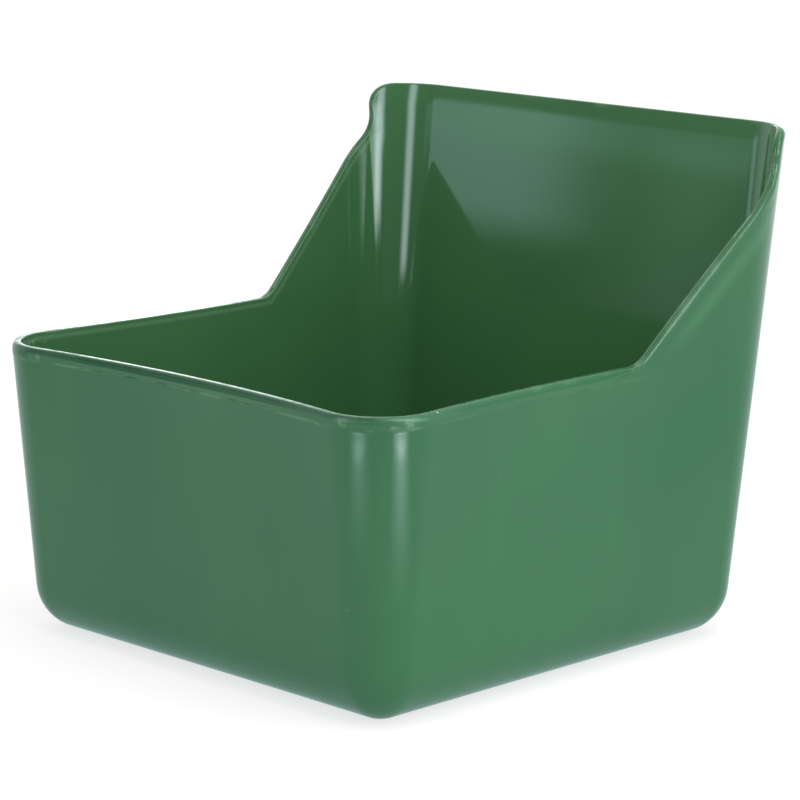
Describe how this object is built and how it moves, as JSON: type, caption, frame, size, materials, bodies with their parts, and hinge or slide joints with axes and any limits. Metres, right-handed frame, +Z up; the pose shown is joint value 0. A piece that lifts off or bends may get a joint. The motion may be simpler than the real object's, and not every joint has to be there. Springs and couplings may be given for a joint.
{
  "type": "livestock feeder",
  "caption": "Square moulded plastic feed tub with drafted walls, a low front, sloping sides and a high back with steel strap hooks that hang it on a rail.",
  "frame": {"origin": "centre of the tub's flat underside, on the surface it stands on", "axes": "+Z up; -Y towards the low front that the animal eats over; +Y towards the high back and its hooks; +X towards the side wall on the right as seen from the front"},
  "size_m": [0.2588, 0.3122, 0.226],
  "materials": {
    "tub_plastic": "mid green injection-moulded polypropylene, semi-gloss, as moulded",
    "hook_steel": "bright zinc plating on rolled steel strap",
    "screw_steel": "bright zinc plating"
  },
  "bodies": {
    "root": {"feeder_tub": "tub_plastic", "hook_left": "hook_steel", "hook_right": "hook_steel", "hook_screws": "screw_steel"}
  },
  "joints": []
}
